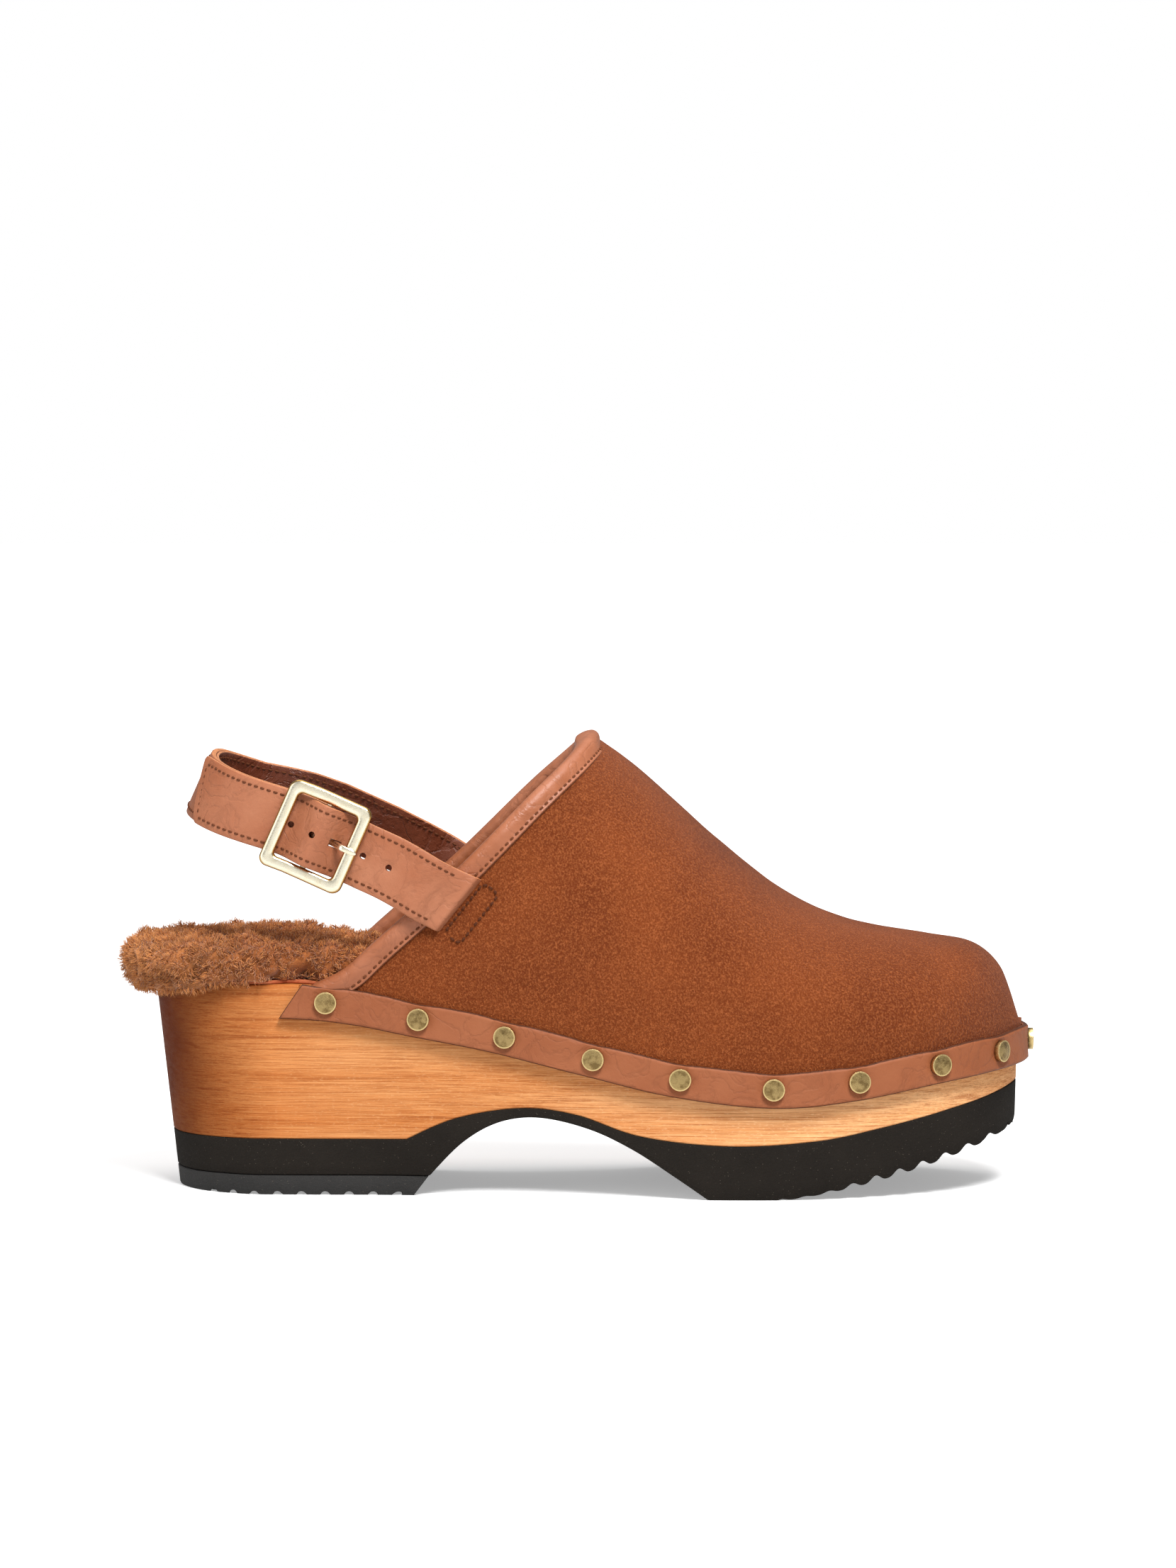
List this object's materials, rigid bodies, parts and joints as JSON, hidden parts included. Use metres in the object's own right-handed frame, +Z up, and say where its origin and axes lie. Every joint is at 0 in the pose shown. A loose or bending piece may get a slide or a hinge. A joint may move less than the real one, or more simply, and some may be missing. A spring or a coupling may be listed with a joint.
{
  "type": "wooden clog",
  "caption": "Right-foot slingback clog: carved wooden platform sole with rubber outsole, studded suede vamp, shearling footbed and buckled leather heel strap.",
  "frame": {"origin": "middle of the clog's box, on the ground", "axes": "+X to the toe, +Z up, -Y the outer side of the foot"},
  "size_m": [0.2706, 0.0962, 0.1345],
  "materials": {
    "wood": "satin oiled, fine grain along the sole",
    "sole_rubber": "matt foam rubber with fine specks",
    "lift_rubber": "matt solid rubber",
    "hide": "raw cut edge",
    "pile": "curly brown shearling pile",
    "suede": "rust-brown suede with a short nap",
    "tan_leather": "smooth tan leather, satin",
    "lining": "dark brown split leather",
    "brass": "pale aged brass"
  },
  "bodies": {
    "clog": {"heel_top_piece": "lift_rubber", "rubber_outsole": "sole_rubber", "wooden_sole": "wood", "footbed_hide": "hide", "shearling_footbed": "pile", "vamp_lining": "lining", "toe_puff": "lining", "suede_vamp": "suede", "topline_binding": "tan_leather", "rand_strip": "tan_leather", "sling_strap_tail": "tan_leather", "billet_strap_tail": "tan_leather", "stud_01": "brass", "stud_02": "brass", "stud_03": "brass", "stud_04": "brass", "stud_05": "brass", "stud_06": "brass", "stud_07": "brass", "stud_08": "brass", "stud_09": "brass", "stud_10": "brass", "stud_11": "brass", "stud_12": "brass", "stud_13": "brass", "stud_14": "brass", "stud_15": "brass", "stud_16": "brass", "stud_17": "brass", "stud_18": "brass", "stud_19": "brass"},
    "strap": {"sling_strap": "tan_leather", "sling_strap_lining": "lining", "billet_strap": "tan_leather", "billet_strap_lining": "lining"},
    "buckle": {"buckle_frame": "brass"},
    "prong": {"buckle_prong": "brass"}
  },
  "joints": [
    {"name": "strap_swing", "type": "hinge", "parent": "clog", "child": "strap", "pos_m": [-0.03333, 0.00079, 0.08666], "axis": [0, 1, 0], "range_deg": [-18, 12]},
    {"name": "buckle_tilt", "type": "hinge", "parent": "strap", "child": "buckle", "pos_m": [-0.07608, -0.03391, 0.10551], "axis": [0.4035, 0, 0.915], "range_deg": [-2, 2]},
    {"name": "prong_lift", "type": "hinge", "parent": "buckle", "child": "prong", "pos_m": [-0.07608, -0.03391, 0.10551], "axis": [-0.4035, 0, -0.915], "range_deg": [0, 5]}
  ]
}
